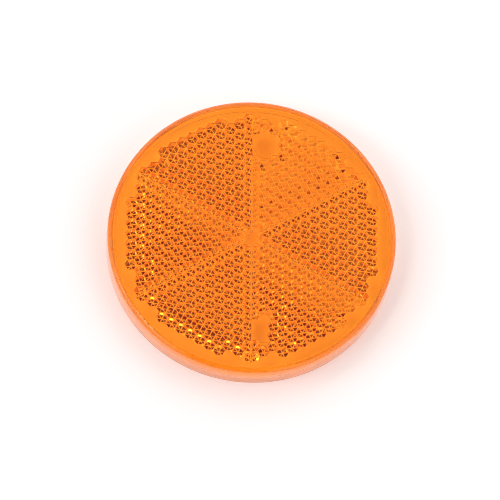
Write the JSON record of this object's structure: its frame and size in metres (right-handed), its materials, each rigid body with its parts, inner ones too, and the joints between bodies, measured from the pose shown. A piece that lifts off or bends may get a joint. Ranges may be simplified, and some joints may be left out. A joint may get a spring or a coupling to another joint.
{
  "type": "adhesive reflector",
  "caption": "Round amber self-adhesive bicycle reflector: a clear-rimmed lens with a sectored cube-corner prism field, a sealed back plate, a foam pad and a release liner.",
  "frame": {"origin": "middle of the release liner's outer side, on the surface that the reflector lies on", "axes": "+Z leaves the front face along the lens's axis; +X runs along the middle of one prism sector, +Y along a line between two sectors"},
  "size_m": [0.06, 0.06, 0.0072],
  "materials": {
    "amber_lens": "polished clear amber acrylic",
    "white_plate": "moulded white plastic, satin",
    "foam_tape": "closed-cell foam, matt",
    "liner_paper": "siliconised paper, smooth"
  },
  "bodies": {
    "root": {"lens": "amber_lens", "back_plate": "white_plate", "adhesive_pad": "foam_tape", "release_liner": "liner_paper"}
  },
  "joints": []
}
